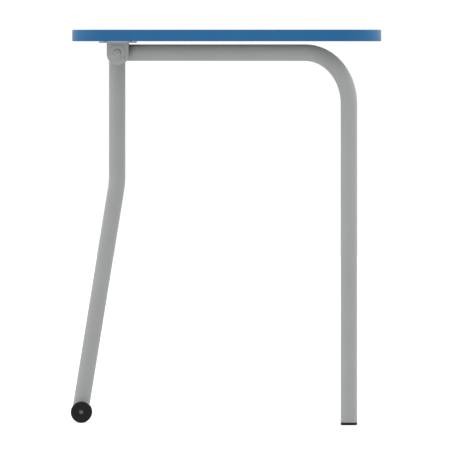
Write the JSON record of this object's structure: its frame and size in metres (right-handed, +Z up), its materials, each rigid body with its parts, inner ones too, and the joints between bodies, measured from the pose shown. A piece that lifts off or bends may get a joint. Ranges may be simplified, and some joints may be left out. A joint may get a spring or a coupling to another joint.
{
  "type": "student desk",
  "caption": "Three-legged student desk: rounded triangular blue top that swings upright on a clamped pivot, grey round-tube frame, twin wheels on the kinked front leg.",
  "frame": {"origin": "on the floor, below the middle of the desk's bounding box", "axes": "+Z up, +X from the narrow wheeled end towards the user's edge, the user's left hand at -Y"},
  "size_m": [0.6, 0.6538, 0.76],
  "materials": {
    "frame_paint": "satin powder coat, light grey",
    "bracket_paint": "satin powder coat, light grey",
    "edge_blue": "satin moulded edge, blue",
    "laminate_blue": "fine-grained laminate, blue",
    "backing_grey": "matt balancing laminate, light grey",
    "board": "raw particle board",
    "zinc_steel": "bright zinc plate",
    "drawn_steel": "drawn steel, dulled",
    "brass": "turned brass",
    "black_plastic": "fine moulded texture, black",
    "black_rubber": "matt rubber, black",
    "pale_nylon": "natural nylon"
  },
  "bodies": {
    "frame": {"front_leg": "frame_paint", "cross_rail": "frame_paint", "pivot_sleeve": "frame_paint", "side_tube_left": "frame_paint", "side_tube_right": "frame_paint", "stop_disc_left": "frame_paint", "stop_disc_right": "frame_paint", "pivot_bush_left": "pale_nylon", "pivot_bush_right": "pale_nylon", "rear_glide_left": "black_plastic", "rear_glide_right": "black_plastic", "wheel_carrier": "black_plastic", "wheel_axle": "drawn_steel", "wheel_spacer_left": "pale_nylon", "wheel_spacer_right": "pale_nylon", "axle_retainer_left": "black_plastic", "axle_retainer_right": "black_plastic"},
    "flip_top": {"top_edge_band": "edge_blue", "top_laminate": "laminate_blue", "top_core": "board", "top_backing": "backing_grey", "bracket_plate": "bracket_paint", "bracket_cheek_left": "bracket_paint", "bracket_cheek_right": "bracket_paint", "stop_pin_left": "bracket_paint", "stop_pin_right": "bracket_paint", "pivot_bolt": "zinc_steel", "pivot_washer_left": "bracket_paint", "pivot_washer_right": "bracket_paint", "friction_washer_left": "pale_nylon", "friction_washer_right": "pale_nylon", "plate_screw_1": "zinc_steel", "plate_screw_2": "zinc_steel", "plate_screw_3": "zinc_steel", "plate_screw_4": "zinc_steel", "plate_insert_1": "brass", "plate_insert_2": "brass", "plate_insert_3": "brass", "plate_insert_4": "brass"},
    "clamp": {"clamp_knob": "black_plastic", "clamp_insert": "brass"},
    "wheel_left": {"wheel_hub_left": "black_plastic", "wheel_tyre_left": "black_rubber", "wheel_bush_left": "pale_nylon"},
    "wheel_right": {"wheel_hub_right": "black_plastic", "wheel_tyre_right": "black_rubber", "wheel_bush_right": "pale_nylon"}
  },
  "joints": [
    {"name": "top_flip", "type": "hinge", "parent": "frame", "child": "flip_top", "pos_m": [-0.21, 0, 0.7155], "axis": [0, -1, 0], "range_deg": [0, 90]},
    {"name": "clamp_turn", "type": "hinge", "parent": "flip_top", "child": "clamp", "pos_m": [-0.21, 0.0446, 0.7155], "axis": [0, 1, 0], "range_deg": [0, 180]},
    {"name": "wheel_left_spin", "type": "hinge", "parent": "frame", "child": "wheel_left", "pos_m": [-0.2795, -0.027, 0.0205], "axis": [0, 1, 0], "continuous": true},
    {"name": "wheel_right_spin", "type": "hinge", "parent": "frame", "child": "wheel_right", "pos_m": [-0.2795, 0.027, 0.0205], "axis": [0, 1, 0], "continuous": true}
  ]
}
